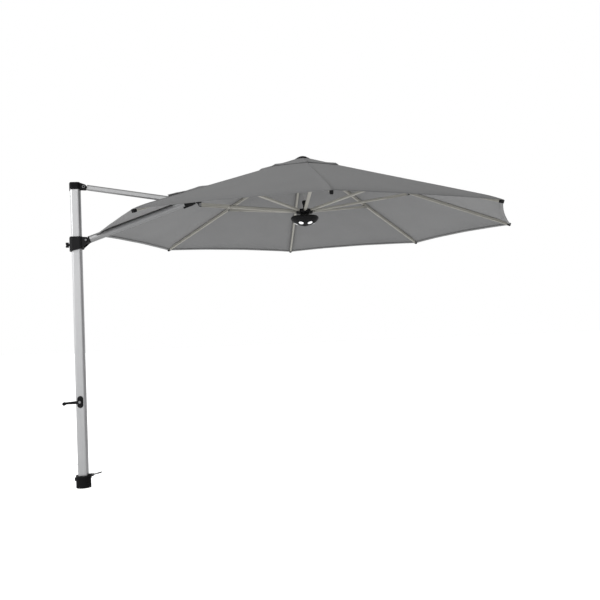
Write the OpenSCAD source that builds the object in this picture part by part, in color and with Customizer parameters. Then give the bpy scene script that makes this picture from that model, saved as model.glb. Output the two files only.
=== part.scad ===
// Cantilever parasol. The mast stands on the origin, +Z is up and +X runs from the mast
// towards the canopy. The boom is the eighth rib: it runs from the slider to the crown.

/* [Mast] */
// Width of the square mast profile
mast_w = 76; // [72:1:78]
// Corner radius of the mast profile
mast_corner = 18; // [14:1:20]
// Wall of the mast profile
mast_wall = 3; // [2.5:0.5:4]
// Top of the mast cap above the floor
mast_h = 2444; // [2440:1:2460]
// Height of the crank shaft
crank_z = 681; // [660:1:690]

/* [Base] */
// Outer diameter of the base socket
socket_d = 117; // [114:1:124]
// Height of the base socket
socket_h = 84; // [84:1:84]
// Pitch circle of the four anchor bolts
bolt_circle = 94; // [92:1:96]
// Diameter of each anchor bolt's hole
bolt_hole_d = 8.5; // [6:0.5:9]
// Diameter of the turning spigot
spigot_d = 68; // [64:1:68]

/* [Boom and upper arm] */
// Outer diameter of the boom
boom_d = 57; // [54:1:57]
// Wall of the boom
boom_wall = 3; // [2:0.5:4]
// Distance of the boom's pivot from the mast axis
slider_x = 80; // [80:1:84]
// Height of the boom's pivot on the slider
slider_z = 1973; // [1965:1:1980]
// Distance of the upper arm's pivot from the mast axis
head_x = 72; // [72:1:76]
// Height of the upper arm's pivot
head_z = 2405.5; // [2404:0.5:2408]
// Distance of the joint of arm and boom from the mast axis
joint_x = 910; // [900:5:920]
// Depth of the upper arm's profile
arm_h = 44; // [40:1:44]
// Width of the upper arm's profile
arm_w = 34; // [30:1:34]

/* [Canopy] */
// Distance of the canopy's axis from the mast axis
axis_x = 1852; // [1845:1:1860]
// Height of the ribs' pivots in the crown
hub_z = 2583; // [2580:1:2586]
// Radius of the circle of the ribs' pivots
hub_r = 45; // [44:1:48]
// Slope of the ribs below level, in degrees
rib_slope = 18.7; // [18.4:0.1:18.9]
// Radius of the open canopy at the ribs' tips
canopy_r = 1750; // [1740:5:1760]
// Depth of a rib's profile
rib_h = 24; // [20:1:24]
// Width of a rib's profile
rib_w = 18; // [16:1:18]
// Thickness of the canopy fabric
cloth = 1.5; // [1.2:0.1:2]
// Radius of the vent opening in the main fabric
vent_hole_r = 262; // [240:5:280]
// Radius of the vent layer that covers the opening
vent_r = 366; // [350:1:380]

/* [Runner and lamp] */
// Height of the struts' pivots in the runner
runner_z = 2165; // [2160:1:2168]
// Radius of the circle of the struts' pivots
runner_r = 50; // [50:1:52]
// Radius of the struts' brackets on the ribs
bracket_r = 870; // [865:1:875]
// Height of the struts' brackets on the ribs
bracket_z = 2287; // [2285:1:2289]
// Outer diameter of the lamp
lamp_d = 230; // [220:1:236]

/* [Hidden] */
$fn = 48;
RIBS = 7;
STEP = 45;

black = "#1c1c1e";
alu = "#c9cbcd";
putty = "#a7a59c";
grey = "#7d7d7d";

fit = 0.05;                       // radial clearance of a running fit
mast_in = mast_w - 2 * mast_wall;
foot_gap = 0.3;
foot_z = socket_h + 1.5 + foot_gap;
mast_z0 = foot_z + 12;
cap_z = mast_h - 58;
rope_r = 2.5;
pin_r = 7;

boom_slope = atan2(hub_z - slider_z, axis_x - hub_r - slider_x);
boom_len = norm([hub_z - slider_z, axis_x - hub_r - slider_x]);
joint_z = slider_z + (joint_x - slider_x) * tan(boom_slope);
joint_s = (joint_x - slider_x) / cos(boom_slope);
arm_drop = atan2(head_z - joint_z, joint_x - head_x);
arm_len = norm([head_z - joint_z, joint_x - head_x]);
arm_end = arm_len - 110;
trunnion_r = 8;
fork_in = 37.5;
fork_out = 44;

rib_end = canopy_r - 10;
rib_len = (rib_end - hub_r) / cos(rib_slope);
strut_rise = atan2(bracket_z - runner_z, bracket_r - runner_r);
strut_len = norm([bracket_z - runner_z, bracket_r - runner_r]);
cloth_gap = 13.2;                 // from a rib's axis up to the fabric's underside
tab_reach = norm([bracket_r - hub_r, hub_z - bracket_z]);
tab_tilt = atan2(hub_z - bracket_z, bracket_r - hub_r) - rib_slope;
tab_s = tab_reach * cos(tab_tilt);  // a strut's outer pivot in its rib's frame
tab_d = -tab_reach * sin(tab_tilt);
tab_half = rib_w / 2 - 0.4;

strut_foot_r = 854.5;             // the boom strut's upper pivot
strut_foot_z = 2240;
boom_strut_rise = atan2(strut_foot_z - runner_z, strut_foot_r - runner_r);
boom_strut_len = norm([strut_foot_z - runner_z, strut_foot_r - runner_r]);
corner_r = 1707;                  // the fabric's corner on the boom
lug_reach = norm([strut_foot_z - slider_z, axis_x - strut_foot_r - slider_x]);
lug_tilt = atan2(strut_foot_z - slider_z, axis_x - strut_foot_r - slider_x) - boom_slope;
lug_s = lug_reach * cos(lug_tilt);  // the same pivot in the boom's frame
lug_d = lug_reach * sin(lug_tilt);
lug_half = boom_d / 2 + 2;
prong_in = lug_half + 0.6;
prong_out = prong_in + 7;

// Frames -------------------------------------------------------------------------------

module on_boom() { translate([slider_x, 0, slider_z]) rotate([0, -boom_slope, 0]) children(); }
module on_arm() { translate([head_x, 0, head_z]) rotate([0, arm_drop, 0]) children(); }
module on_axis(turn = 0) { translate([axis_x, 0, 0]) rotate([0, 0, turn]) children(); }
module on_rib(i) {
    on_axis(180 + STEP * i) translate([hub_r, 0, hub_z]) rotate([0, rib_slope, 0]) children();
}
module on_strut(i) {
    on_axis(180 + STEP * i)
        translate([runner_r, 0, runner_z]) rotate([0, -strut_rise, 0]) children();
}
module on_boom_strut() {
    on_axis(180) translate([runner_r, 0, runner_z]) rotate([0, -boom_strut_rise, 0]) children();
}

// Shapes -------------------------------------------------------------------------------

module rounded(w, h, r) {
    square([w - 2 * r, h], center = true);
    square([w, h - 2 * r], center = true);
    for (x = [-1, 1], y = [-1, 1]) translate([x * (w / 2 - r), y * (h / 2 - r)]) circle(r);
}
// A rounded bar along X, h deep in Z and w wide in Y.
module bar(x0, x1, h, w, r) {
    translate([x0, 0, 0]) rotate([0, 90, 0]) linear_extrude(x1 - x0) rounded(h, w, r);
}
module hollow_bar(x0, x1, h, w, r, wall) {
    difference() {
        bar(x0, x1, h, w, r);
        bar(x0 - 1, x1 + 1, h - 2 * wall, w - 2 * wall, r - wall);
    }
}
// A cylinder along Y, centred on the plane y = 0.
module cross_pin(r, length) { rotate([90, 0, 0]) cylinder(r = r, h = length, center = true); }
module block(x0, x1, y0, y1, z0, z1) {
    translate([x0, y0, z0]) cube([x1 - x0, y1 - y0, z1 - z0]);
}
// The same on both sides of the plane y = 0.
module both_sides() { children(); mirror([0, 1, 0]) children(); }
// A plate in the XZ plane from y0 to y1.
module plate_xz(y0, y1) { translate([0, y1, 0]) rotate([90, 0, 0]) linear_extrude(y1 - y0) children(); }
// A length of rope between two points [x, z] of the plane y = 0.
module rope_run_xz(a, b) {
    translate([a[0], 0, a[1]]) rotate([0, 90 - atan2(b[1] - a[1], b[0] - a[0]), 0])
        cylinder(r = rope_r, h = norm(b - a), $fn = 16);
}

// Base ---------------------------------------------------------------------------------

module base_socket() {
    color(black) difference() {
        union() {
            cylinder(d = socket_d, h = socket_h, $fn = 96);
            translate([0, 0, socket_h - 14]) cylinder(d = socket_d + 8, h = 14, $fn = 96);
            block(-socket_d / 2 - 9, -socket_d / 2 + 4, -11, 11, socket_h - 30, socket_h - 4);
        }
        translate([0, 0, 10]) cylinder(r = spigot_d / 2 + 2, h = socket_h, $fn = 96);
        for (a = [45:90:315]) rotate([0, 0, a])
            translate([bolt_circle / 2, 0, -1]) cylinder(d = bolt_hole_d, h = 27);
    }
}

module base_bush() {
    color("#3a3a3c") difference() {
        union() {
            translate([0, 0, 12]) cylinder(r = spigot_d / 2 + 1.98, h = socket_h - 12, $fn = 96);
            translate([0, 0, socket_h]) cylinder(r = spigot_d / 2 + 10, h = 1.5, $fn = 96);
        }
        translate([0, 0, 11]) cylinder(r = spigot_d / 2 + fit, h = socket_h, $fn = 96);
    }
}

// Mast ---------------------------------------------------------------------------------

module mast_profile() {
    color(alu) difference() {
        translate([0, 0, mast_z0]) linear_extrude(cap_z + 46 - mast_z0) difference() {
            rounded(mast_w, mast_w, mast_corner);
            rounded(mast_in, mast_in, mast_corner - mast_wall);
        }
        // Track along the face towards the canopy
        block(mast_w / 2 - 1.5, mast_w / 2 + 1, -5, 5, mast_z0 - 1, cap_z + 60);
        // Crank shaft, foot bolt, and the rope's way out under the cap
        translate([0, -mast_w / 2, crank_z]) rotate([90, 0, 0]) cylinder(r = 13.5, h = 12, center = true);
        translate([-mast_w / 2, 0, 182]) rotate([0, 90, 0]) cylinder(r = 4.2, h = 12, center = true);
        block(0, mast_w, -6, 6, cap_z + 14, cap_z + 60);
    }
}

module mast_foot() {
    color(black) difference() {
        union() {
            translate([0, 0, 14]) cylinder(d = spigot_d, h = foot_z - 14 + 2, $fn = 96);
            translate([0, 0, foot_z]) cylinder(d = socket_d + 2, h = 12, $fn = 96);
            translate([0, 0, foot_z + 10]) linear_extrude(96)
                rounded(mast_in - 0.3, mast_in - 0.3, mast_corner - mast_wall);
            both_sides() block(40, 80, 12, 19, foot_z, foot_z + 18);
        }
        // Well of the pedal's brake shoe
        block(39, 90, -12, 12, foot_z - 1, foot_z + 30);
        translate([72, 0, 97]) cross_pin(3, 60);
        translate([0, 0, 30]) cylinder(r = 24, h = 200);
        translate([-mast_w / 2, 0, 182]) rotate([0, 90, 0]) cylinder(r = 4.1, h = 40, center = true);
    }
}

module foot_pins() {
    color("#8d9094") {
        translate([72, 0, 97]) cross_pin(2.98, 40);
        translate([-mast_w / 2 - 6, 0, 182]) rotate([0, 90, 0]) {
            cylinder(r = 4, h = 20);
            cylinder(r = 7, h = 5, $fn = 6);
        }
    }
}

module mast_cap() {
    color(black) difference() {
        union() {
            translate([0, 0, cap_z]) linear_extrude(50) rounded(mast_w + 10, mast_w + 10, 22);
            translate([0, 0, cap_z + 50]) linear_extrude(5) rounded(mast_w + 6, mast_w + 6, 20);
            translate([0, 0, cap_z + 55]) linear_extrude(3) rounded(mast_w - 2, mast_w - 2, 17);
            block(-mast_w / 2 - 5, -mast_w / 2 + 4, -20, 20, cap_z - 12, cap_z + 1);
            both_sides() plate_xz(18, 31) hull() {
                translate([head_x, head_z]) circle(21, $fn = 32);
                translate([36, cap_z + 1]) square([4, 53]);
            }
        }
        // Socket for the profile
        translate([0, 0, cap_z - 20]) linear_extrude(66.2)
            rounded(mast_w + 0.3, mast_w + 0.3, mast_corner);
        // Bore for the arm's pin, and the rope's slot
        translate([head_x, 0, head_z]) cross_pin(pin_r + 0.02, 80);
        block(20, mast_w, -6, 6, cap_z + 14, cap_z + 42);
    }
}

module arm_pin() {
    color("#8d9094") translate([head_x, 0, head_z]) {
        cross_pin(pin_r, 64);
        both_sides() translate([0, 33.5, 0]) cross_pin(11, 4.6);
    }
}

module crank_plate() {
    y = -mast_w / 2;
    color(black) difference() {
        union() {
            translate([0, y - 0.2, crank_z]) rotate([90, 0, 0]) linear_extrude(9) hull()
                for (z = [-24, 24]) translate([0, z]) circle(23, $fn = 32);
            translate([0, y - 5, crank_z]) rotate([90, 0, 0]) cylinder(r = 17, h = 10);
            translate([0, y + 14, crank_z]) rotate([90, 0, 0]) cylinder(r = 13, h = 20);
        }
        translate([0, y, crank_z]) cross_pin(6 + fit, 60);
    }
}

module winding_drum() {
    color("#55575a") translate([0, 0, crank_z]) {
        translate([0, -mast_w / 2 - 8, 0]) rotate([-90, 0, 0]) translate([0, 0, -20])
            cylinder(r = 6, h = mast_w);
        translate([0, -20, 0]) rotate([-90, 0, 0]) {
            cylinder(r = 27, h = 3);
            cylinder(r = 18, h = 36);
            translate([0, 0, 36]) cylinder(r = 27, h = 3);
        }
    }
}

module crank_arm() {
    color(black) translate([0, -mast_w / 2 - 16, crank_z]) {
        difference() {
            union() {
                rotate([90, 0, 0]) cylinder(r = 15, h = 12);
                plate_xz(-11, -2) hull() {
                    circle(13, $fn = 32);
                    translate([-112, -4]) circle(8.5, $fn = 32);
                }
            }
            translate([0, 2, 0]) rotate([90, 0, 0]) cylinder(r = 6.02, h = 20);
        }
        translate([-112, -10, -4]) rotate([90, 0, 0]) cylinder(r = 4, h = 66);
        translate([-112, -73, -4]) rotate([90, 0, 0]) cylinder(r = 7, h = 4);
    }
}

module crank_grip() {
    color("#232325") translate([-112, -mast_w / 2 - 16 - 11.5, crank_z - 4]) rotate([90, 0, 0])
        difference() {
            union() {
                cylinder(r1 = 10, r2 = 13, h = 20);
                translate([0, 0, 20]) cylinder(r = 13, h = 26);
                translate([0, 0, 46]) cylinder(r1 = 13, r2 = 10, h = 15);
            }
            translate([0, 0, -1]) cylinder(r = 4 + fit, h = 70);
        }
}

module rope_mast() {
    lead = 18 + rope_r + 0.1;
    color("#d8d6cf") {
        rope_run_xz([lead, crank_z], [lead, cap_z + 22]);
        rope_run_xz([lead, cap_z + 22], [head_x - 8, head_z + pin_r + rope_r + 0.3]);
    }
}

module foot_pedal() {
    color("#6e7073") translate([72, 0, 97]) difference() {
        union() {
            cross_pin(7, 23);
            rotate([0, -13, 0]) block(0, 46, -11, 11, -5, 3);
            rotate([0, -13, 0]) block(40, 72, -17, 17, -5, 3);
            block(-27, 0, -11, 11, -6, 2);
            block(-27, -14, -11, 11, -12.6, 0);
        }
        cross_pin(3 + fit, 60);
    }
}

// Slider -------------------------------------------------------------------------------

slider_w = mast_w + 30;
liner_w = mast_w + 10;
slider_lo = slider_z - 87;
slider_hi = slider_z + 31;
knob_z = slider_z - 33;
cheek_in = 30;
cheek_out = 41;

// The underside of the slider rises towards the boom.
module below_slider() {
    translate([-slider_w / 2, -100, slider_lo]) rotate([0, -11, 0]) translate([-20, 0, -60])
        cube([160, 200, 60]);
}

module slider_body() {
    color(black) difference() {
        union() {
            translate([0, 0, slider_lo]) linear_extrude(108) rounded(slider_w, slider_w, 28);
            translate([0, 0, slider_lo]) linear_extrude(114)
                rounded(slider_w - 4, slider_w - 4, 26);
            translate([0, 0, slider_lo]) linear_extrude(118)
                rounded(slider_w - 10, slider_w - 10, 23);
            both_sides() plate_xz(cheek_in, cheek_out) hull() {
                translate([slider_x, slider_z]) circle(25, $fn = 32);
                translate([40, slider_lo + 24]) square([6, 90]);
            }
            both_sides() translate([slider_x, cheek_out + 2, slider_z]) cross_pin(11, 6);
            translate([-slider_w / 2 - 5, 0, knob_z]) rotate([0, 90, 0]) cylinder(r = 15, h = 12);
        }
        translate([0, 0, slider_lo - 1]) linear_extrude(120)
            rounded(liner_w + 0.1, liner_w + 0.1, mast_corner + 5);
        translate([-slider_w / 2 - 10, 0, knob_z]) rotate([0, 90, 0]) cylinder(r = 5 + fit, h = 30);
        below_slider();
    }
}

module slider_liner() {
    color("#3a3a3c") difference() {
        translate([0, 0, slider_lo + 1]) linear_extrude(116) difference() {
            rounded(liner_w, liner_w, mast_corner + 5);
            rounded(mast_w + 0.8, mast_w + 0.8, mast_corner + 0.4);
        }
        translate([-liner_w / 2 - 3, 0, knob_z]) rotate([0, 90, 0]) cylinder(r = 6, h = 12);
        below_slider();
    }
}

module slider_knob() {
    color(black) translate([-slider_w / 2 - 5.4, 0, knob_z]) rotate([0, -90, 0]) {
        translate([0, 0, -17]) cylinder(r = 5, h = 18);
        cylinder(r = 10, h = 14);
        translate([0, 0, 6]) for (a = [-1, 1]) translate([12 * a, 0, 0]) cylinder(r = 9, h = 22);
        translate([0, 0, 6]) cylinder(r = 11, h = 18);
    }
}

// Upper arm ----------------------------------------------------------------------------

module arm_tube() { color(alu) on_arm() hollow_bar(22, arm_end, arm_h, arm_w, 12, 2.5); }

module arm_head() {
    color("#55575a") on_arm() difference() {
        union() {
            cross_pin(16, 35);
            block(0, 30, -12, 12, -13, 13);
            bar(22.5, 70, arm_h - 5.3, arm_w - 5.3, 9.3);
        }
        cross_pin(pin_r + fit, 60);
        block(-30, 18, -5, 5, -30, 30);
        translate([10, 0, pin_r + rope_r]) rotate([0, 90, 0]) cylinder(r = 4, h = 80);
    }
}

module arm_fork() {
    color(black) on_arm() difference() {
        union() {
            bar(arm_end - 42, arm_end + 4, arm_h - 5.3, arm_w - 5.3, 9.3);
            block(arm_end + 0.2, arm_end + 24, -fork_out, fork_out, -14, 14);
            both_sides() plate_xz(fork_in, fork_out) hull() {
                translate([arm_len, 0]) circle(16, $fn = 32);
                translate([arm_end + 2, -15]) square([20, 30]);
            }
        }
        translate([arm_len, 0, 0]) cross_pin(trunnion_r + fit, 120);
        translate([arm_end - 50, 0, 0]) rotate([0, 90, 0]) cylinder(r = 4, h = 90);
    }
}

module rope_arm() {
    color("#d8d6cf") {
        on_arm() translate([2, 0, pin_r + rope_r + 0.3]) rotate([0, 91, 0])
            cylinder(r = rope_r, h = 60, $fn = 16);
        on_arm() translate([78, 0, 0]) rotate([0, 90, 0])
            cylinder(r = rope_r, h = arm_end - 50, $fn = 16);
    }
}

// Boom ---------------------------------------------------------------------------------

nose_s = boom_len - 200;

module boom_tube() {
    color(alu) on_boom() rotate([0, 90, 0]) difference() {
        translate([0, 0, 30]) cylinder(d = boom_d, h = nose_s - 30, $fn = 96);
        translate([0, 0, 29]) cylinder(d = boom_d - 2 * boom_wall, h = nose_s, $fn = 96);
    }
}

module boom_foot() {
    color("#232325") on_boom() {
        cross_pin(24, 2 * cheek_in - 1.6);
        rotate([0, 90, 0]) {
            translate([0, 0, 18]) cylinder(d = boom_d, h = 11.8);
            translate([0, 0, 25]) cylinder(d = boom_d - 2 * boom_wall - 0.1, h = 50);
        }
    }
}

module boom_nose() {
    color("#55575a") on_boom() difference() {
        union() {
            translate([nose_s - 50, 0, 0]) rotate([0, 90, 0])
                cylinder(d = boom_d - 2 * boom_wall - 0.1, h = 51);
            translate([nose_s + 0.2, 0, 0]) rotate([0, 90, 0])
                cylinder(r1 = boom_d / 2, r2 = 11, h = 162);
            block(nose_s + 158, boom_len, -5.8, 5.8, -7, 7);
            translate([boom_len, 0, 0]) cross_pin(7, 11.6);
        }
        translate([boom_len, 0, 0]) cross_pin(3 + fit, 20);
        translate([nose_s - 60, 0, 0]) rotate([0, 90, 0]) cylinder(r = 4, h = 90);
    }
}

module arm_bracket() {
    color(black) on_boom() {
        difference() {
            union() {
                translate([joint_s - 46, 0, 0]) rotate([0, 90, 0])
                    cylinder(r = boom_d / 2 + 6, h = 90, $fn = 96);
                translate([joint_s - 62, 0, -30]) bar(0, 84, 14, 26, 6);
            }
            translate([joint_s - 101, 0, 0]) rotate([0, 90, 0])
                cylinder(r = boom_d / 2 + 0.02, h = 170, $fn = 96);
        }
        both_sides() translate([joint_s, boom_d / 2 + 1.5, 0]) rotate([-90, 0, 0])
            cylinder(r = trunnion_r, h = 16.5);
    }
}

module strut_bracket() {
    color(black) on_boom() difference() {
        union() {
            intersection() {
                translate([lug_s - 26, 0, 0]) rotate([0, 90, 0])
                    cylinder(r = lug_half, h = 52, $fn = 96);
                block(lug_s - 30, lug_s + 30, -60, 60, -60, -4);
            }
            plate_xz(-lug_half, lug_half) hull() {
                translate([lug_s, lug_d]) circle(13, $fn = 32);
                translate([lug_s - 22, -boom_d / 2 + 4]) square([44, 4]);
            }
        }
        translate([lug_s - 40, 0, 0]) rotate([0, 90, 0])
            cylinder(r = boom_d / 2 + 0.02, h = 80, $fn = 96);
        translate([lug_s, 0, lug_d]) cross_pin(4.02, 80);
    }
}

module boom_bolts() {
    color("#8d9094") on_boom() both_sides() translate([joint_s, 46.7, 0]) rotate([-90, 0, 0])
        cylinder(r = 13, h = 4);
}

module rope_boom() {
    color("#d8d6cf") on_boom() translate([joint_s + 80, 0, 0]) rotate([0, 90, 0])
        cylinder(r = rope_r, h = nose_s - joint_s - 60, $fn = 16);
}

// Crown --------------------------------------------------------------------------------

module crown_hub() {
    color("#232325") on_axis() difference() {
        translate([0, 0, hub_z - 17]) union() {
            cylinder(r = hub_r + 12, h = 26.5, $fn = 96);
            translate([0, 0, -8]) cylinder(r = 30, h = 10);
        }
        for (i = [0:7]) rotate([0, 0, 180 + STEP * i]) {
            half = i == 0 ? 6.2 : 5;
            block(hub_r - 9, hub_r + 20, -half, half, hub_z - 30, hub_z + 8);
            translate([hub_r, 0, hub_z]) cross_pin(3.02, 25);
        }
        translate([0, 0, hub_z - 40]) cylinder(r = 5, h = 80);
    }
}

module hub_pins() {
    color("#8d9094") for (i = [0:7]) on_axis(180 + STEP * i)
        translate([hub_r, 0, hub_z]) cross_pin(3, 24);
}

module crown_cap() {
    color(black) on_axis() difference() {
        union() {
            translate([0, 0, hub_z + 16]) intersection() {
                translate([0, 0, 25 - 79]) sphere(r = 79, $fn = 96);
                cylinder(r = 59, h = 40, $fn = 96);
            }
            translate([0, 0, hub_z + 9.7]) cylinder(r = 9, h = 12);
        }
    }
}

// Fabric -------------------------------------------------------------------------------

// Height of the fabric's underside over a rib at radius r; the boom's is a little higher.
function over_rib(r) = hub_z + cloth_gap / cos(rib_slope) - (r - hub_r) * tan(rib_slope);
function over_boom(r) = hub_z + (boom_d / 2 + 1) / cos(boom_slope) - (r - hub_r) * tan(boom_slope);
function spoke(k, u) =
    let (on_boom = k % 8 == 0, tip = on_boom ? corner_r : canopy_r,
         r = vent_hole_r + (tip - vent_hole_r) * u, a = 180 + STEP * k)
    [r * cos(a), r * sin(a), on_boom ? over_boom(r) : over_rib(r)];
// A point of the main fabric: t runs from one rib to the next, u from the vent to the hem.
function cloth_point(k, t, u) =
    let (bow = 4 * t * (1 - t), v = u * (1 - 0.042 * bow * u))
    (1 - t) * spoke(k, v) + t * spoke(k + 1, v) - [0, 0, 7 * bow * u];

// The vent layer lies on the crown and close to the ribs, and its edge stands clear of the
// main fabric. It is higher over the boom, and over the rib opposite to match.
function vent_height(k, r) = hub_z + 13.6
    - (k % 4 == 0 ? 0.27 * max(r - 60, 0)
                  : 0.348 * (max(min(r, 250), 60) - 60) + 0.22 * max(r - 250, 0));
function vent_point(k, t, u) =
    let (bow = 4 * t * (1 - t), r = 12 + (vent_r - 12) * u,
         a = 180 + STEP * k, b = a + STEP, q = r * (1 - 0.03 * bow * u),
         x = (1 - t) * [cos(a), sin(a)] + t * [cos(b), sin(b)])
    [q * x[0], q * x[1], (1 - t) * vent_height(k, r) + t * vent_height(k + 1, r)
     - 5 * bow * pow(u, 6)];

// A closed sheet of the given thickness over a ring of points, n around and m + 1 outwards.
module sheet_ring(points, n, m, thick) {
    top = [for (p = points) p + [0, 0, thick]];
    half = n * (m + 1);
    function at(i, j) = (i % n) * (m + 1) + j;
    faces = concat(
        [for (i = [0:n - 1], j = [0:m - 1]) each [
            [at(i, j), at(i, j + 1), at(i + 1, j + 1)], [at(i, j), at(i + 1, j + 1), at(i + 1, j)],
            [half + at(i, j), half + at(i + 1, j + 1), half + at(i, j + 1)],
            [half + at(i, j), half + at(i + 1, j), half + at(i + 1, j + 1)]]],
        [for (i = [0:n - 1]) each [
            [at(i, 0), at(i + 1, 0), half + at(i + 1, 0)],
            [at(i, 0), half + at(i + 1, 0), half + at(i, 0)],
            [at(i, m), half + at(i + 1, m), at(i + 1, m)],
            [at(i, m), half + at(i, m), half + at(i + 1, m)]]]);
    polyhedron(concat(points, top), faces, convexity = 6);
}

module canopy() {
    n = 6;
    m = 6;
    color(grey) on_axis() difference() {
        sheet_ring([for (k = [0:7], i = [0:n - 1], j = [0:m]) cloth_point(k, i / n, j / m)],
                   8 * n, m, cloth);
        // Slit that lets the upper arm through to the boom
        block(-1085, -838, -52, 52, 2100, 2500);
    }
}

module vent_canopy() {
    n = 4;
    m = 6;
    color(grey) on_axis()
        sheet_ring([for (k = [0:7], i = [0:n - 1], j = [0:m]) vent_point(k, i / n, j / m)],
                   8 * n, m, cloth);
}

// The hood over the slit: an arch of cloth from the arm's top to the canopy's ridge.
// Each row is [x, height of the ridge, half width, height of the side].
hood = [[740, 2325, 50, 12], [800, 2347, 60, 14], [880, 2366, 70, 18], [930, 2380, 76, 45],
        [990, 2398, 76, 60], [1040, 2405, 72, 60], [1100, 2403, 60, 60], [1150, 2398, 40, 60]];
module arm_hood() {
    m = 8;
    function foot(x) = over_boom(axis_x - x) + 9;
    rows = [for (h = hood, j = [0:m])
        let (a = 180 * j / m, base = max(foot(h[0]), h[1] - h[3]))
        [h[0], -h[2] * cos(a), base + (h[1] - base) * sin(a)]];
    n = len(hood);
    top = [for (p = rows) p + [0, 0, cloth]];
    half = n * (m + 1);
    function at(i, j) = i * (m + 1) + j;
    faces = concat(
        [for (i = [0:n - 2], j = [0:m - 1]) each [
            [at(i, j), at(i + 1, j + 1), at(i, j + 1)], [at(i, j), at(i + 1, j), at(i + 1, j + 1)],
            [half + at(i, j), half + at(i, j + 1), half + at(i + 1, j + 1)],
            [half + at(i, j), half + at(i + 1, j + 1), half + at(i + 1, j)]]],
        [for (j = [0:m - 1]) each [
            [at(0, j), at(0, j + 1), half + at(0, j + 1)], [at(0, j), half + at(0, j + 1), half + at(0, j)],
            [at(n - 1, j), half + at(n - 1, j + 1), at(n - 1, j + 1)],
            [at(n - 1, j), half + at(n - 1, j), half + at(n - 1, j + 1)]]],
        [for (i = [0:n - 2]) each [
            [at(i, 0), half + at(i + 1, 0), at(i + 1, 0)],
            [at(i, 0), half + at(i, 0), half + at(i + 1, 0)],
            [at(i, m), at(i + 1, m), half + at(i + 1, m)],
            [at(i, m), half + at(i + 1, m), half + at(i, m)]]]);
    color(grey) polyhedron(concat(rows, top), faces, convexity = 6);
}

// Ribs and struts ----------------------------------------------------------------------

module rib(i) {
    color(putty) on_rib(i) difference() {
        union() {
            cross_pin(7, 9.4);
            block(0, 36, -4.7, 4.7, -7, 7);
            bar(34, 44, rib_h, rib_w, 4);
            hollow_bar(43, rib_len, rib_h, rib_w, 4, 1.5);
        }
        cross_pin(3 + fit, 20);
    }
}

module rib_fittings(i) {
    color(black) on_rib(i) {
        // Lug between the prongs of the strut's fork
        difference() {
            plate_xz(-tab_half, tab_half) hull() {
                translate([tab_s, tab_d]) circle(10, $fn = 32);
                translate([tab_s - 22, -rib_h / 2 - 3]) square([44, 3]);
            }
            translate([tab_s, 0, tab_d]) cross_pin(3 + fit, 30);
            block(tab_s - 30, tab_s + 30, -20, 20, -rib_h / 2, 20);
        }
        // Cap on the rib's tip
        difference() {
            bar(rib_len - 20, rib_len + 8, rib_h + 3, rib_w + 4, 5);
            bar(rib_len - 24, rib_len + 0.1, rib_h + 0.1, rib_w + 0.1, 4);
            block(rib_len - 40, rib_len + 20, -20, 20, rib_h / 2 - 1.2, 40);
        }
    }
}

module strut(i) {
    crotch = strut_len - 190;
    color(putty) on_strut(i) difference() {
        union() {
            cross_pin(7, 8.4);
            block(0, 36, -4.2, 4.2, -7, 7);
            bar(32, 44, 18, 26, 5);
            hollow_bar(43, crotch, 18, 26, 5, 1.5);
            bar(crotch - 1, crotch + 8, 18, 26, 5);
            both_sides() plate_xz(rib_w / 2 + 0.6, rib_w / 2 + 4) hull() {
                translate([strut_len, 0]) circle(9, $fn = 32);
                translate([crotch + 6, -9]) square([10, 18]);
            }
        }
        cross_pin(3 + fit, 20);
        translate([strut_len, 0, 0]) cross_pin(3.6, 40);
    }
}

module boom_strut() {
    crotch = boom_strut_len - 250;
    color(putty) on_boom_strut() difference() {
        union() {
            cross_pin(7, 11.4);
            block(0, 44, -5.7, 5.7, -7, 7);
            bar(40, 52, 28, 22, 8);
            hollow_bar(51, crotch, 28, 22, 8, 2);
            bar(crotch - 1, crotch + 12, 28, 22, 8);
            block(crotch + 10, crotch + 26, -prong_out, prong_out, -11, 11);
            both_sides() plate_xz(prong_in, prong_out) hull() {
                translate([boom_strut_len, 0]) circle(11, $fn = 32);
                translate([crotch + 12, -11]) square([10, 22]);
            }
        }
        cross_pin(3 + fit, 20);
        translate([boom_strut_len, 0, 0]) cross_pin(4.6, 100);
    }
}

// Runner and lamp ----------------------------------------------------------------------

module runner_hub() {
    color(black) on_axis() difference() {
        union() {
            translate([0, 0, runner_z - 18]) cylinder(r = runner_r + 17.5, h = 21, $fn = 96);
            translate([0, 0, runner_z + 3]) cylinder(r = runner_r + 12, h = 12, $fn = 96);
        }
        for (i = [0:7]) rotate([0, 0, 180 + STEP * i]) {
            half = i == 0 ? 6.1 : 4.6;
            block(runner_r - 9, runner_r + 30, -half, half, runner_z - 9, runner_z + 30);
            translate([runner_r, 0, runner_z]) cross_pin(3.02, 25);
        }
    }
}

module runner_pins() {
    color("#8d9094") for (i = [0:7]) on_axis(180 + STEP * i)
        translate([runner_r, 0, runner_z]) cross_pin(3, 24);
}

module cord_stem() {
    color(black) on_axis() translate([0, 0, runner_z + 15.1]) {
        cylinder(r1 = 17, r2 = 11.5, h = 14);
        cylinder(r = 11, h = 48);
        translate([0, 0, 36]) cylinder(r1 = 11.5, r2 = 17.5, h = 14);
        translate([0, 0, 50]) cylinder(r = 17.5, h = 20);
        translate([0, 0, 70]) cylinder(r1 = 17.5, r2 = 14, h = 4);
    }
}

// Windows in the housing's sloping underside, one lens in each.
module lamp_window(thick) {
    for (a = [0:60:300]) rotate([0, 0, a]) translate([73, 0, runner_z - 104.25])
        rotate([0, 154.3, 0]) translate([0, 0, -4]) cylinder(r = 20, h = thick);
}

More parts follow.
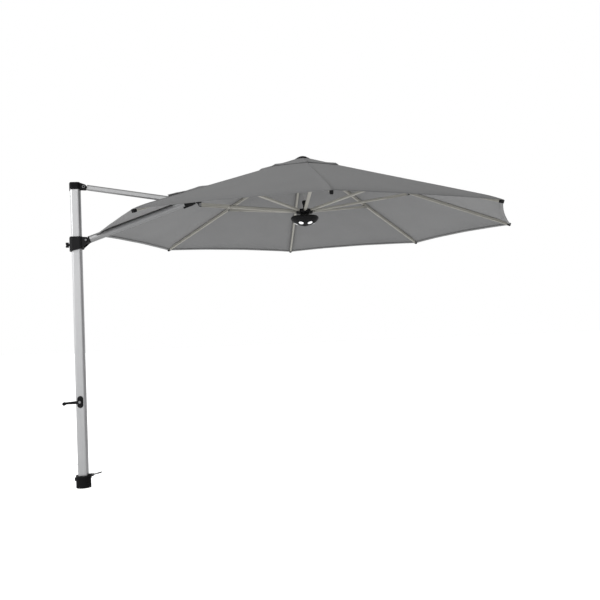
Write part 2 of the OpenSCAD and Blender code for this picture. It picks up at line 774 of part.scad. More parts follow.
module lamp_body() {
    r = lamp_d / 2;
    // Rows of [radius, depth below the runner's axis], from the flat bottom to the top
    rows = [[30, 119], [60, 110.5], [86, 98], [r - 11, 81], [r - 2, 66], [r, 58], [r - 3, 49],
            [r - 11, 42], [r - 23, 40]];
    color(black) on_axis() difference() {
        union() {
            translate([0, 0, runner_z - 42]) cylinder(r = 36, h = 23.8);
            for (i = [0:7]) translate([0, 0, runner_z - rows[i][1]])
                cylinder(r1 = rows[i][0], r2 = rows[i + 1][0], h = rows[i][1] - rows[i + 1][1],
                         $fn = 96);
        }
        lamp_window(16);
    }
}

module lamp_lenses() { color("white") on_axis() lamp_window(4.4); }

base_socket();
base_bush();
mast_profile();
mast_foot();
foot_pins();
mast_cap();
arm_pin();
crank_plate();
rope_mast();
foot_pedal();
winding_drum();
crank_arm();
crank_grip();
slider_body();
slider_liner();
slider_knob();
arm_tube();
arm_head();
arm_fork();
rope_arm();
boom_tube();
boom_foot();
boom_nose();
arm_bracket();
strut_bracket();
boom_bolts();
rope_boom();
crown_hub();
hub_pins();
crown_cap();
vent_canopy();
canopy();
arm_hood();
boom_strut();
runner_hub();
runner_pins();
cord_stem();
lamp_body();
lamp_lenses();
for (i = [1:RIBS]) rib(i);
for (i = [1:RIBS]) rib_fittings(i);
for (i = [1:RIBS]) strut(i);
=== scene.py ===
"""Looks of the cantilever parasol. Lengths are in metres, in the CAD model's own frame:
the mast stands on the origin, +Z is up and +X runs from the mast towards the canopy."""
from math import cos, pi, radians, sin, tan

import bpy
import numpy as np
from mathutils import Matrix, Vector

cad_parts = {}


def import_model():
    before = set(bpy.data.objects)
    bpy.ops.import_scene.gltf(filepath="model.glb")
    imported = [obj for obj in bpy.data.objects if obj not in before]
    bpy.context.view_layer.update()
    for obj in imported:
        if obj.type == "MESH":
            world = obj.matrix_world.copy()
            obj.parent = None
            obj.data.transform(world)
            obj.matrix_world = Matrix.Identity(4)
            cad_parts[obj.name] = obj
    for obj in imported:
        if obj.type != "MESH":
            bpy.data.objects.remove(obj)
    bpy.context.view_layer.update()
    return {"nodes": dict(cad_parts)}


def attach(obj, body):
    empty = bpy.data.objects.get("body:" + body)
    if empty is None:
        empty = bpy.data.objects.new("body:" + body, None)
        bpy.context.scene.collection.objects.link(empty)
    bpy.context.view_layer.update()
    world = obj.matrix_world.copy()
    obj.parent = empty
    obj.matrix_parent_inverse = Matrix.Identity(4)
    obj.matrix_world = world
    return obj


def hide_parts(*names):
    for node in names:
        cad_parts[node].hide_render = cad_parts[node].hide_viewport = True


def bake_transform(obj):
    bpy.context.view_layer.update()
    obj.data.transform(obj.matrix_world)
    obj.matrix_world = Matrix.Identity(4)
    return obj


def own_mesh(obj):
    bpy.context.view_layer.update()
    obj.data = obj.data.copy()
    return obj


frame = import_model()
NODES = frame["nodes"]

# The CAD model's own dimensions --------------------------------------------------------
RIB_COUNT = 8                       # the boom is rib 0
AXIS_X = 1.852                      # the canopy's upright axis
HUB_Z, HUB_R = 2.583, 0.045         # where the ribs' lines start
RIB_SLOPE, BOOM_SLOPE = radians(18.7), radians(19.45391672)
RIB_TAN, BOOM_TAN = tan(RIB_SLOPE), tan(BOOM_SLOPE)
OVER_RIB, OVER_BOOM = 0.0132, 0.0295    # from those lines to the cloth, square to them
TIP_R, BOOM_CORNER_R = 1.750, 1.707     # the canopy's corners on the ribs and on the boom
HOLE_R = 0.262                      # opening of the main cloth under the vent
VENT_INNER_R, VENT_R = 0.053, 0.366
CLOTH = 0.0015                      # thickness
CRANK_Z = 0.681
RUNNER_Z = 2.165
SLIDER_X, SLIDER_Z, JOINT_X = 0.080, 1.973, 0.910
SLIDER = Vector((SLIDER_X, 0, SLIDER_Z))
JOINT = Vector((JOINT_X, 0, SLIDER_Z + (JOINT_X - SLIDER_X) * BOOM_TAN))
HEAD = Vector((0.072, 0, 2.4055))
STRUT_R, STRUT_Z = 0.870, 2.287     # the struts' pins on the ribs
BOOM_STRUT_FOOT = Vector((AXIS_X - 0.8545, 0, 2.240))
NEAR, FAR = Vector((0, -1, 0)), Vector((0, 1, 0))


def azimuth(k):
    """Direction of rib k about the canopy's axis; 0 and 8 are the boom."""
    return pi + k * pi / 4


def rib_body(k):
    return "boom" if k % RIB_COUNT == 0 else f"rib_{k % RIB_COUNT}"


# Materials -----------------------------------------------------------------------------
def add_node(tree, kind, settings=None, **inputs):
    """Adds a shader node. Inputs go by name, or by number as _0, _1 and so on."""
    node = tree.nodes.new("ShaderNode" + kind)
    for key, value in (settings or {}).items():
        setattr(node, key, value)
    for key, value in inputs.items():
        socket = node.inputs[int(key[1:])] if key[1:].isdigit() else node.inputs[key]
        if isinstance(value, bpy.types.NodeSocket):
            tree.links.new(value, socket)
        else:
            socket.default_value = value
    return node


class Shader:
    """A principled material and short ways to add nodes to it."""

    def __init__(self, name, **sockets):
        self.material = bpy.data.materials.new(name)
        self.material.use_nodes = True
        self.tree = self.material.node_tree
        self.surface = self.tree.nodes["Principled BSDF"]
        for key, value in sockets.items():
            self.surface.inputs[key.replace("_", " ")].default_value = value

    def add(self, kind, settings=None, **inputs):
        return add_node(self.tree, kind, settings, **inputs).outputs[0]

    def link(self, output, name):
        self.tree.links.new(output, self.surface.inputs[name])

    def place(self, scale=(1, 1, 1)):
        """The object's own coordinates in metres, stretched by scale."""
        coords = add_node(self.tree, "TexCoord")
        return self.add("Mapping", _0=coords.outputs["Object"], _3=scale)

    def noise(self, scale, detail=4.0, stretch=(1, 1, 1), roughness=0.55):
        return self.add("TexNoise", Vector=self.place(stretch), Scale=scale, Detail=detail,
                        Roughness=roughness)

    def math(self, operation, a, b=0.0):
        return self.add("Math", {"operation": operation}, _0=a, _1=b)

    def span(self, value, low, high, out_low, out_high):
        return self.add("MapRange", _0=value, _1=low, _2=high, _3=out_low, _4=out_high)

    def ramp(self, value, stops):
        node = add_node(self.tree, "ValToRGB", _0=value)
        ends = node.color_ramp.elements
        for end, (at, colour) in zip(ends, stops):
            end.position, end.color = at, (*colour, 1)
        return node.outputs[0]

    def bump(self, height, strength, distance, after=None):
        inputs = {"Height": height, "Strength": strength, "Distance": distance}
        if after is not None:
            inputs["Normal"] = after
        return self.add("Bump", **inputs)


def shade(colour, factor):
    return tuple(min(c * factor, 1) for c in colour)


def plastic(name, colour, roughness, grain=900.0, depth=0.00006, shine=0.3):
    s = Shader(name, IOR=1.46, Specular_IOR_Level=shine)
    blotch = s.noise(14, 5)
    s.link(s.ramp(blotch, [(0.3, shade(colour, 0.82)), (0.7, shade(colour, 1.25))]),
           "Base Color")
    s.link(s.span(s.noise(60, 6), 0.3, 0.7, roughness - 0.06, roughness + 0.1), "Roughness")
    s.link(s.bump(s.noise(grain, 3), 0.35, depth), "Normal")
    return s.material


def metal(name, colour, roughness, stretch=(1, 1, 1), streak=260.0, metallic=1.0):
    """Anodised or plated metal; stretch is small along the drawing direction."""
    s = Shader(name, Metallic=metallic)
    lines = s.noise(streak, 5, stretch, 0.6)
    cloud = s.noise(3.5, 4)
    both = s.math("MULTIPLY", lines, cloud)
    s.link(s.ramp(both, [(0.08, shade(colour, 0.93)), (0.42, shade(colour, 1.05))]),
           "Base Color")
    s.link(s.span(lines, 0.3, 0.7, roughness - 0.05, roughness + 0.07), "Roughness")
    s.link(s.bump(lines, 0.18, 0.00005), "Normal")
    return s.material


def coated(name, colour, roughness):
    """Powder coat: orange peel and faint dust."""
    s = Shader(name, IOR=1.5, Coat_Weight=0.15, Coat_Roughness=0.35)
    s.link(s.ramp(s.noise(9, 5), [(0.3, shade(colour, 0.93)), (0.7, shade(colour, 1.06))]),
           "Base Color")
    s.link(s.span(s.noise(45, 4), 0.3, 0.7, roughness - 0.05, roughness + 0.08), "Roughness")
    s.link(s.bump(s.noise(520, 2), 0.3, 0.0001), "Normal")
    return s.material


WEAVE = 0.0011      # distance between two threads
STITCH = 0.0045     # a stitch and its gap
STITCH_LINE, STITCH_HALF = 0.0048, 0.0007   # from the seam's middle; half the thread's width


def fabric(name, colour):
    """Plain weave over UVs in metres: U across from the rib's seam, V outwards along it."""
    s = Shader(name, Roughness=0.85, IOR=1.45, Sheen_Weight=0.22, Sheen_Roughness=0.5,
               Specular_IOR_Level=0.28)
    uv = s.add("UVMap", {"uv_map": "cloth"})
    u, v, _ = add_node(s.tree, "SeparateXYZ", _0=uv).outputs
    warp, weft = (s.math("SINE", s.math("MULTIPLY", w, 2 * pi / WEAVE)) for w in (u, v))
    weave = s.math("MULTIPLY", warp, weft)
    # A line of stitches on each side of the seam over the rib
    off_line = s.math("ABSOLUTE", s.math("SUBTRACT", s.math("ABSOLUTE", u), STITCH_LINE))
    line = s.math("LESS_THAN", off_line, STITCH_HALF)
    dash = s.math("GREATER_THAN", s.math("SINE", s.math("MULTIPLY", v, 2 * pi / STITCH)), -0.5)
    stitch = s.math("MULTIPLY", line, dash)
    slub = s.add("TexNoise", Vector=s.add("Mapping", _0=uv, _3=(900, 40, 1)), Scale=1.0,
                 Detail=4.0)
    cloud = s.add("TexNoise", Vector=uv, Scale=2.3, Detail=5.0, Roughness=0.6)
    tone = s.math("ADD", s.math("MULTIPLY", slub, 0.35), s.math("MULTIPLY", cloud, 0.65))
    base = s.ramp(tone, [(0.3, shade(colour, 0.93)), (0.7, shade(colour, 1.07))])
    mix = add_node(s.tree, "Mix", {"data_type": "RGBA"}, _0=stitch, _6=base,
                   _7=(*shade(colour, 0.62), 1))
    s.link(mix.outputs[2], "Base Color")
    low = s.bump(cloud, 0.25, 0.002)
    fine = s.bump(weave, 0.4, 0.00018, low)
    s.link(s.bump(stitch, 0.5, 0.0004, fine), "Normal")
    return s.material


def braid(name, colour):
    s = Shader(name, Roughness=0.8, Sheen_Weight=0.3)
    wave = s.add("TexWave", {"bands_direction": "DIAGONAL"}, Vector=s.place(), Scale=260.0,
                 Distortion=0.4)
    # Painted shade: the strands are darker in the grooves between them, where the bump is low
    s.link(s.ramp(wave, [(0.2, shade(colour, 0.6)), (0.8, colour)]), "Base Color")
    s.link(s.bump(wave, 0.6, 0.0005), "Normal")
    return s.material


def lens(name):
    s = Shader(name, Roughness=0.22, IOR=1.49, Coat_Weight=0.6, Emission_Color=(1, 1, 1, 1),
               Emission_Strength=0.55)
    cells = s.add("TexVoronoi", Vector=s.place(), Scale=240.0)
    s.link(s.ramp(cells, [(0.0, (0.9, 0.91, 0.92)), (0.6, (0.72, 0.73, 0.74))]), "Base Color")
    s.link(s.bump(cells, 0.3, 0.0004), "Normal")
    return s.material


def floor_paint(name):
    """White to the eye, bright to cloth and darker in the metal's reflections."""
    s = Shader(name, Roughness=0.9, Emission_Color=(1, 1, 1, 1))
    rays = add_node(s.tree, "LightPath").outputs
    s.link(s.span(rays["Is Glossy Ray"], 0.0, 1.0, 0.95, 0.55), "Base Color")
    glow = s.span(rays["Is Glossy Ray"], 0.0, 1.0, 0.46, 0.03)
    s.link(s.math("ADD", glow, s.math("MULTIPLY", rays["Is Camera Ray"], 0.5)),
           "Emission Strength")
    return s.material


ALONG_Z, ALONG_X = (1, 1, 0.02), (0.02, 1, 1)
M = {
    "mast": metal("anodised_mast", (0.91, 0.915, 0.925), 0.36, ALONG_Z),
    # The tubes are the mast's anodised metal made darker: painted shade where the arm and the
    # boom lie under the canopy
    "tube": metal("anodised_tube_painted_shade", (0.76, 0.765, 0.77), 0.36, ALONG_X),
    "casting": metal("grey_casting", (0.17, 0.175, 0.18), 0.5, streak=400, metallic=0.3),
    "steel": metal("zinc_steel", (0.52, 0.53, 0.54), 0.3, streak=700),
    "black": plastic("black_plastic", (0.0085, 0.0085, 0.0095), 0.38),
    "matt": plastic("matt_black_plastic", (0.008, 0.008, 0.009), 0.5, shine=0.14),
    "dark": plastic("dark_plastic", (0.016, 0.016, 0.018), 0.45),
    "grip": plastic("grip_rubber", (0.010, 0.010, 0.011), 0.6, grain=420, depth=0.00015),
    "putty": coated("putty_coat", (0.41, 0.40, 0.36), 0.45),
    "screw": metal("black_oxide", (0.05, 0.05, 0.052), 0.42, streak=700),
    "cloth": fabric("canopy_fabric", (0.199, 0.200, 0.202)),
    "rope": braid("rope_braid", (0.62, 0.61, 0.57)),
    "lens": lens("lamp_lens"),
    "floor": floor_paint("floor_paint"),
}
NODE_LOOK = {
    "mast": ["mast_profile"],
    "tube": ["arm_tube", "boom_tube"],
    "casting": ["arm_head", "boom_nose", "winding_drum", "foot_pedal"],
    "steel": ["foot_pins", "arm_pin", "boom_bolts", "hub_pins", "runner_pins"],
    "dark": ["base_bush", "slider_liner", "boom_foot", "crown_hub"],
    "matt": ["base_socket", "mast_cap"],
    "grip": ["crank_grip"],
    "rope": ["rope_mast", "rope_arm", "rope_boom"],
    "lens": ["lamp_lenses"],
    "putty": ["boom_strut"] + [f"{n}_{i}" for n in ("rib", "strut") for i in range(1, 8)],
}
look_of = {node: look for look, nodes in NODE_LOOK.items() for node in nodes}
for node_name, node in NODES.items():
    if not node.material_slots:
        node.data.materials.append(None)
    for place in node.material_slots:
        place.link = "OBJECT"
        place.material = M[look_of.get(node_name, "black")]


# Mesh helpers --------------------------------------------------------------------------
def piece(name, points, faces, look, body=None, uvs=None):
    mesh = bpy.data.meshes.new(name)
    mesh.from_pydata([tuple(p) for p in points], [], faces)
    mesh.update()
    mesh.shade_smooth()
    if uvs is not None:
        layer = mesh.uv_layers.new(name="cloth")
        for loop in mesh.loops:
            layer.data[loop.index].uv = uvs[loop.vertex_index]
    mesh.materials.append(M[look])
    thing = bpy.data.objects.new(name, mesh)
    bpy.context.scene.collection.objects.link(thing)
    if body:
        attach(thing, body)
    return thing


def grid_faces(rows, columns, closed=False):
    out = []
    for i in range(rows - 1):
        for j in range(columns if closed else columns - 1):
            a, b = i * columns + j, i * columns + (j + 1) % columns
            out.append((a, b, b + columns, a + columns))
    return out


def toward(axis):
    """Turns +Z to the given direction."""
    return Vector((0, 0, 1)).rotation_difference(Vector(axis)).to_matrix()


def lathe(profile, count, hexes):
    """Points and faces of a turned shape about +Z. Profile rows are (radius, height); rows
    listed in hexes are hexagons of that radius across the corners."""
    points, flat = [], cos(pi / 6)
    for i, (r, z) in enumerate(profile):
        for j in range(count):
            a = 2 * pi * j / count
            q = r * flat / cos((a % (pi / 3)) - pi / 6) if i in hexes else r
            points.append(Vector((q * cos(a), q * sin(a), z)))
    faces = grid_faces(len(profile), count, True)
    faces.append(tuple(reversed(range(count))))
    faces.append(tuple(range((len(profile) - 1) * count, len(profile) * count)))
    return points, faces


def several(name, parts, look, body, count=36):
    """One piece out of many turned shapes: parts are (profile, at, axis, hexes)."""
    points, faces = [], []
    for profile, at, axis, hexes in parts:
        some, more = lathe(profile, count, hexes)
        start, spin = len(points), toward(axis)
        points += [spin @ p + Vector(at) for p in some]
        faces += [tuple(start + i for i in f) for f in more]
    thing = piece(name, points, faces, look, body)
    thing.data.set_sharp_from_angle(angle=radians(32))
    return thing


def turned(name, profile, at, axis, look, body):
    return several(name, [(profile, at, axis, ())], look, body, 48)


def socket_head(r, h):
    """A cap screw's head with its hexagon recess."""
    e = 0.12 * r
    rows = [(r, 0), (r, h - e), (r - e, h), (0.56 * r, h), (0.5 * r, h - 0.3 * e),
            (0.5 * r, 0.45 * h), (0.02 * r, 0.42 * h)]
    return rows, (4, 5)


def hex_head(r, h):
    """A hexagon head on its washer."""
    w = 0.18 * h
    rows = [(1.3 * r, 0), (1.3 * r, w), (1.24 * r, 1.3 * w), (r, 1.3 * w), (r, h - 0.2 * h),
            (0.86 * r, h), (0.02 * r, h)]
    return rows, (3, 4)


def head(kind, r, h, at, axis):
    rows, hexes = kind(r, h)
    return rows, at, axis, hexes


def both_sides(kind, r, h, half, middles):
    """Heads on the near and the far face of something 2 * half wide."""
    return [head(kind, r, h, at + half * s, s) for s in (NEAR, FAR) for at in middles]


# Fabric --------------------------------------------------------------------------------
FOLD_DEPTH = 0.0016     # of the tension folds
EDGE_TURN = 0.015       # how far the edge turns down
NEAR_RISE = 0.008       # how far the near side stands off its ribs
NEAR_HALF = 1.24        # distance from the middle where all of that is reached
SEAM_HALF, SEAM_RISE = 0.0075, 0.0009


def over_rib(r):
    return HUB_Z + OVER_RIB / cos(RIB_SLOPE) - (r - HUB_R) * RIB_TAN


def over_boom(r):
    return HUB_Z + OVER_BOOM / cos(BOOM_SLOPE) - (r - HUB_R) * BOOM_TAN


def spoke(k, u):
    on_boom = k % RIB_COUNT == 0
    r = HOLE_R + ((BOOM_CORNER_R if on_boom else TIP_R) - HOLE_R) * u
    a = azimuth(k)
    return np.array([AXIS_X + r * cos(a), r * sin(a), over_boom(r) if on_boom else over_rib(r)])


def cloth_point(k, t, u):
    """The main fabric's mid surface: t from rib k to rib k + 1, u from the vent to the hem."""
    bow = 4 * t * (1 - t)
    beside_boom = k % RIB_COUNT in (0, RIB_COUNT - 1)
    # The hem runs inwards between the ribs, and the cloth rises a little there
    inward, rise = (0.005, 0.006) if beside_boom else (0.018, 0.001)
    v = u * (1 - inward * bow * u)
    p = (1 - t) * spoke(k, v) + t * spoke(k + 1, v)
    # Tension folds in the outer half of the panel
    fold = FOLD_DEPTH * sin(38 * t * (1 - 0.5 * u)) * bow * max(u - 0.45, 0) ** 1.5
    # The edge turns down over the rib tips and along the hem
    drop = (EDGE_TURN - 0.001 * bow) * max((u - 0.90) / 0.10, 0) ** 2
    # The cloth is a little slacker on the near side, where it stands off its ribs
    near = min(max(-p[1] / NEAR_HALF, 0), 1)
    p[2] += (CLOTH / 2 + rise * bow * u + fold
             + NEAR_RISE * near * min(1.5 * u, 1) - drop * (1 - 0.35 * near))
    return p


def vent_height(k, r):
    """Underside of the vent layer over rib k; higher over the boom and the rib opposite."""
    flat_r, bend_r = 0.06, 0.25     # the slope starts at one and eases at the other
    top = HUB_Z + 0.0136
    if k % 4 == 0:
        return top - 0.247 * max(r - flat_r, 0)
    return top - 0.348 * (min(max(r, flat_r), bend_r) - flat_r) - 0.22 * max(r - bend_r, 0)


def vent_point(k, t, u):
    """The vent layer, with its edge turned down on to the main fabric."""
    bow = 4 * t * (1 - t)
    r = VENT_INNER_R + (VENT_R - VENT_INNER_R) * u
    q = r * (1 - 0.03 * bow * u)
    a, b = azimuth(k), azimuth(k + 1)
    z = (1 - t) * vent_height(k, r) + t * vent_height(k + 1, r) - 0.005 * bow * u ** 6
    z += CLOTH / 2 - (0.011 - 0.007 * bow) * max((u - 0.93) / 0.07, 0) ** 1.5
    return np.array([AXIS_X + q * ((1 - t) * cos(a) + t * cos(b)),
                     q * ((1 - t) * sin(a) + t * sin(b)), z])


def petal(name, k, surface, inner, outer, rows, side_cols, hem, hole=None):
    """The cloth that belongs to rib k: from mid panel to mid panel, with its seam over the
    rib standing proud and its hem folded under."""
    seam = [0.0, SEAM_HALF - 0.0012, SEAM_HALF]
    last = len(seam) + side_cols - 1
    # Each row: how far from inner to outer, then a step outwards and a step up
    steps = [(i / (rows - 1), 0.0, 0.0) for i in range(rows - 1)]
    steps += [(1.0, 0.0, 0.0), (1.0, 0.0006, -0.0012), (1.0, -0.010, -0.0019),
              (1.0, -hem, -0.0016)]
    points, uvs = [], []
    for u, out, up in steps:
        r = inner + (outer - inner) * u
        pitch = 2 * r * sin(pi / RIB_COUNT)
        for column in range(-last, last + 1):
            c = abs(column)
            if c < len(seam):
                d = seam[c]
            else:
                share = (c - len(seam) + 1) / side_cols
                d = SEAM_HALF + (pitch / 2 - SEAM_HALF) * share
            t = d / pitch
            p = surface(k, t, u) if column >= 0 else surface(k - 1, 1 - t, u)
            if d < SEAM_HALF:
                p = p + np.array([0, 0, SEAM_RISE])
            away = np.array([p[0] - AXIS_X, p[1], 0.0])
            away /= np.linalg.norm(away)
            p = p + out * (away - np.array([0, 0, RIB_TAN])) + np.array([0, 0, up])
            points.append(p)
            uvs.append((d if column >= 0 else -d, r + out))
    faces = grid_faces(len(steps), 2 * last + 1)
    if hole:
        faces = [f for f in faces if not hole(sum(np.array(points[i]) for i in f) / 4)]
    thing = piece(name, points, [tuple(reversed(f)) for f in faces], "cloth", rib_body(k),
                  uvs)
    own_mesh(thing)
    return thing


def slit(p):
    """Where the upper arm goes through the main fabric."""
    return 0.775 < p[0] < 1.012 and abs(p[1]) < 0.052


petals, vents = [], []
for k in range(RIB_COUNT):
    petals.append(petal(f"canopy_petal_{k}", k, cloth_point, HOLE_R, TIP_R, 44, 14, 0.024,
                        slit if k == 0 else None))
    vents.append(petal(f"vent_petal_{k}", k, vent_point, VENT_INNER_R, VENT_R, 16, 6, 0.016))
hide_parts("canopy")
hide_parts("vent_canopy")

# Hood over the slit. Rows: x, height of the ridge, half width, height of the near side and
# of the far side
HOOD = [(0.740, 2.325, 0.050, 0.009, 0.003), (0.800, 2.338, 0.060, 0.010, 0.003),
        (0.880, 2.352, 0.070, 0.014, 0.006), (0.930, 2.369, 0.076, 0.045, 0.040),
        (0.990, 2.390, 0.076, 0.055, 0.055), (1.040, 2.394, 0.072, 0.055, 0.055),
        (1.100, 2.401, 0.060, 0.058, 0.058), (1.150, 2.396, 0.040, 0.058, 0.058)]


def hood():
    xs, ridge, half, near, far = (np.array(c) for c in zip(*HOOD))
    rows, columns, points, uvs = 40, 25, [], []
    for x in np.linspace(xs[0], xs[-1], rows):
        top, wide = np.interp(x, xs, ridge), np.interp(x, xs, half)
        lowest = over_boom(AXIS_X - x) + 0.009
        for j in range(columns):
            a = pi * j / (columns - 1)
            base = max(lowest, top - np.interp(x, xs, near if a < pi / 2 else far))
            crease = 0.0012 * sin(9 * a) * sin(60 * x)
            points.append((x, -wide * cos(a), base + (top - base) * sin(a) ** 0.9 + crease))
            uvs.append((wide * (a - pi / 2), x))
    thing = piece("hood", points, grid_faces(rows, columns), "cloth",
                  uvs=uvs)
    solid = thing.modifiers.new("cloth", "SOLIDIFY")
    solid.thickness, solid.offset = CLOTH, 0
    return thing


hood_cloth = hood()
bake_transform(hood_cloth)
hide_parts("arm_hood")


# Rope between the crown and the lamp's stem --------------------------------------------
def strand(name, a, b, r, twist=0.012, step=0.004):
    """A laid rope of three strands from a to b; twist is the length of a third of a turn."""
    a, b = Vector(a), Vector(b)
    long, spin = (b - a).length, toward((b - a).normalized())
    rows, columns, points = int(long / step) + 1, 18, []
    for i in range(rows):
        z = long * i / (rows - 1)
        for j in range(columns):
            q = 2 * pi * j / columns
            lobe = r * (0.86 + 0.14 * cos(3 * (q - 2 * pi * z / (3 * twist))))
            points.append(spin @ Vector((lobe * cos(q), lobe * sin(q), z)) + a)
    return piece(name, points, grid_faces(rows, columns, True), "rope")


rope = strand("rope_strand", (AXIS_X, 0, 2.560), (AXIS_X, 0, 2.248), 0.0025)
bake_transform(rope)

# Fasteners -----------------------------------------------------------------------------
STRUT_SEAT = 0.0132         # from the middle of a rib to the strut bolt's heads
TIP_SCREW_R, TIP_SCREW_DROP = 1.722, 0.0138     # from the axis; below the rib's line
for k in range(1, RIB_COUNT):
    a = azimuth(k)
    side = Vector((-sin(a), cos(a), 0))
    pivot = Vector((AXIS_X + STRUT_R * cos(a), STRUT_R * sin(a), STRUT_Z))
    several(f"strut_bolt_{k}",
            [head(hex_head, 0.0055, 0.0045, pivot + STRUT_SEAT * side, side),
             head(hex_head, 0.0055, 0.0045, pivot - STRUT_SEAT * side, -side)],
            "steel", rib_body(k))
    # Cap screw that goes up into the rib's tip from below
    tip = Vector((AXIS_X + TIP_SCREW_R * cos(a), TIP_SCREW_R * sin(a), 0))
    tip.z = HUB_Z - (TIP_SCREW_R - HUB_R) * RIB_TAN - TIP_SCREW_DROP
    down = Vector((-sin(RIB_SLOPE) * cos(a), -sin(RIB_SLOPE) * sin(a), -cos(RIB_SLOPE)))
    several(f"tip_screw_{k}", [head(socket_head, 0.003, 0.002, tip, down)], "steel",
            rib_body(k))

several("boom_strut_bolt", both_sides(hex_head, 0.0085, 0.006, 0.0383, [BOOM_STRUT_FOOT]),
        "steel", "boom")
several("joint_bolts", both_sides(socket_head, 0.008, 0.005, 0.0507, [JOINT]),
        "steel", "boom")
several("slider_bolts", both_sides(socket_head, 0.008, 0.004, 0.0460, [SLIDER]),
        "steel", "slider")
several("slider_screws",
        both_sides(socket_head, 0.0042, 0.002, 0.0530,
                   [Vector((x, 0, z)) for x in (-0.022, 0.022) for z in (1.906, 1.984)]),
        "screw", "slider")
several("arm_pin_caps", both_sides(socket_head, 0.008, 0.004, 0.0358, [HEAD]),
        "screw", "mast")
several("cap_screws",
        both_sides(socket_head, 0.0038, 0.002, 0.0430,
                   [Vector((x, 0, 2.400)) for x in (-0.018, 0.018)]),
        "screw", "mast")
several("crank_plate_screws",
        [head(socket_head, 0.0042, 0.0022, Vector((0, -0.0470, CRANK_Z + z)), NEAR)
         for z in (-0.034, 0.034)],
        "screw", "mast")
SOCKET_R, SOCKET_SCREW_Z = 0.0585, 0.036
several("socket_screws",
        [head(socket_head, 0.004, 0.002,
              Vector((SOCKET_R * cos(a), SOCKET_R * sin(a), SOCKET_SCREW_Z)),
              Vector((cos(a), sin(a), 0)))
         for a in (radians(d) for d in (-135, -45, 45, 135))],
        "screw", "base")
several("crank_nut", [head(hex_head, 0.0075, 0.005, Vector((0, -0.0660, CRANK_Z)), NEAR)],
        "steel", "crank")

# Turned trim ---------------------------------------------------------------------------
turned("crank_bezel", [(0.0225, 0), (0.0225, 0.0012), (0.0215, 0.002), (0.0185, 0.002),
                       (0.0175, 0.0012), (0.0175, 0)],
       (0, -0.0471, CRANK_Z), NEAR, "dark", "mast")
rings = []
for i in range(8):
    z = 0.0202 + 0.0034 * i
    rings.append(([(0.0128, z), (0.0137, z + 0.0007), (0.0137, z + 0.0017),
                   (0.0128, z + 0.0024)], (-0.112, -0.0655, CRANK_Z - 0.004), NEAR, ()))
several("grip_rings", rings, "grip", "grip")

# Lamp trim: a bright ring round each lens, a switch and the seam of the housing
LENS_COUNT, LENS_R, LENS_DROP = 6, 0.073, 0.10425   # from the axis; below RUNNER_Z
LENS_TILT = radians(154.3)                          # from +Z to the way a lens faces
rims = []
for i in range(LENS_COUNT):
    a = i * 2 * pi / LENS_COUNT
    n = Vector((sin(LENS_TILT) * cos(a), sin(LENS_TILT) * sin(a), cos(LENS_TILT)))
    at = Vector((AXIS_X + LENS_R * cos(a), LENS_R * sin(a), RUNNER_Z - LENS_DROP)) + 0.0002 * n
    rims.append(([(0.0222, -0.002), (0.0222, 0.0008), (0.0215, 0.0016), (0.0203, 0.0016),
                  (0.0198, 0.0006), (0.0198, -0.002)], at, n, ()))
several("lens_rims", rims, "steel", "runner")
turned("lamp_switch", [(0.022, 0), (0.022, 0.0015), (0.020, 0.0028), (0.012, 0.0028),
                       (0.0115, 0.0016), (0.010, 0.0016), (0.0095, 0.0040), (0.008, 0.0048),
                       (0.0005, 0.0050)],
       (AXIS_X, 0, RUNNER_Z - 0.119), (0, 0, -1), "dark", "runner")
turned("lamp_seam", [(0.1150, 0), (0.1156, 0.0006), (0.1156, 0.0022), (0.1150, 0.0028),
                     (0.1140, 0.0028), (0.1140, 0)],
       (AXIS_X, 0, RUNNER_Z - 0.0594), (0, 0, 1), "dark", "runner")
turned("crown_ring", [(0.0592, 0), (0.0600, 0.0008), (0.0600, 0.0026), (0.0590, 0.0036),
                      (0.0575, 0.0036), (0.0575, 0)],
       (AXIS_X, 0, HUB_Z + 0.0162), (0, 0, 1), "dark", "crown")

# Floor, light and camera ---------------------------------------------------------------
FLOOR_HALF, FLOOR_Z = 40, -0.001
corners = [(x * FLOOR_HALF, y * FLOOR_HALF, FLOOR_Z)
           for x, y in ((-1, -1), (1, -1), (1, 1), (-1, 1))]
piece("floor", corners, [(0, 1, 2, 3)], "floor")


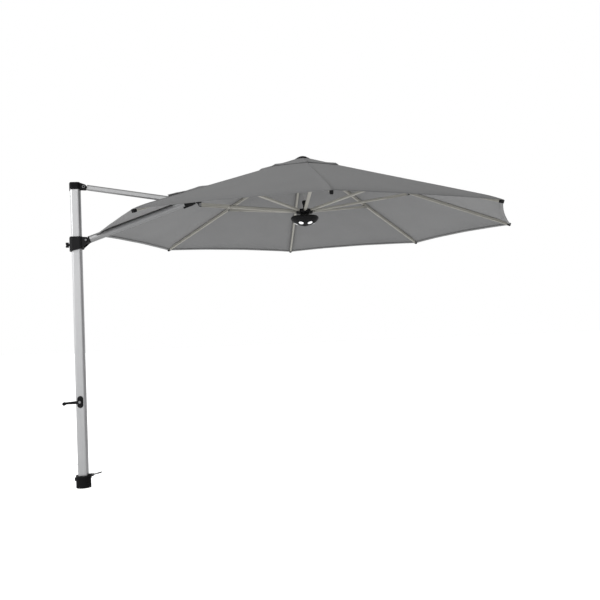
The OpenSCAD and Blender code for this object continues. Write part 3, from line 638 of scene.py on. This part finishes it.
def world():
    """A white studio: the camera sees plain white, and the metal sees a darker right side."""
    sky = bpy.data.worlds.new("studio")
    bpy.context.scene.world = sky
    sky.use_nodes = True
    sky.node_tree.nodes.clear()

    def add(kind, settings=None, **inputs):
        return add_node(sky.node_tree, kind, settings, **inputs).outputs

    def math(operation, a, b):
        return add("Math", {"operation": operation}, _0=a, _1=b)[0]

    def greys(value, near, far):
        ramp = add_node(sky.node_tree, "ValToRGB", _0=value)
        for end, (at, grey) in zip(ramp.color_ramp.elements, (near, far)):
            end.position, end.color = at, (grey, grey, grey, 1)
        return ramp.outputs[0]

    direction = add("TexCoord")["Generated"]
    side = add("VectorMath", {"operation": "DOT_PRODUCT"}, _0=direction, _1=(0.93, 0.30, 0.08))
    height = add("SeparateXYZ", _0=direction)[2]
    # Darker towards +X, and darker overhead than at the horizon
    both = math("MULTIPLY", greys(side["Value"], (0.0, 1.0), (0.7, 0.18)),
                greys(height, (0.25, 1.0), (0.95, 0.42)))
    # The metal's reflections are darker still above the horizon
    ray = add("LightPath")
    above = add("MapRange", _0=height, _1=0.09, _2=0.22, _3=0.0, _4=0.50)[0]
    kept = math("SUBTRACT", 1.0, math("MULTIPLY", above, ray["Is Glossy Ray"]))
    soft = add("Background", _0=math("MULTIPLY", both, kept), _1=0.95)[0]
    plain = add("Background", _0=(1, 1, 1, 1), _1=1.0)[0]
    mix = add("MixShader", _0=ray["Is Camera Ray"], _1=soft, _2=plain)[0]
    add("OutputWorld", _0=mix)


def key_light(at, aim, size, power):
    data = bpy.data.lights.new("key", "AREA")
    data.shape, data.size, data.energy = "DISK", size, power
    lamp = bpy.data.objects.new("key", data)
    lamp.location = at
    lamp.rotation_euler = (Vector(aim) - Vector(at)).to_track_quat("-Z", "Y").to_euler()
    bpy.context.scene.collection.objects.link(lamp)


def aim_camera(at, yaw, pitch, roll, focal, sensor):
    """Angles are in radians, yaw from +Y towards +X; focal and sensor are in millimetres."""
    ahead = Vector((sin(yaw) * cos(pitch), cos(yaw) * cos(pitch), sin(pitch)))
    level = Vector((cos(yaw), -sin(yaw), 0))
    upright = level.cross(ahead)
    right = level * cos(roll) + upright * sin(roll)
    up = -level * sin(roll) + upright * cos(roll)
    data = bpy.data.cameras.new("camera")
    data.lens, data.sensor_width = focal, sensor
    camera = bpy.data.objects.new("camera", data)
    turn = Matrix((right, up, -ahead)).transposed().to_4x4()
    camera.matrix_world = Matrix.Translation(at) @ turn
    bpy.context.scene.collection.objects.link(camera)
    bpy.context.scene.camera = camera


world()
key_light((-5.2, -4.1, 5.2), (0.6, 0, 1.8), 3.6, 170)
# Fitted to the photo
aim_camera((1.2727, -6.0933, 1.2296), 0.08415, 0.03296, -0.03863, 44.532, 36.0)
bpy.context.scene.view_settings.view_transform = "Standard"
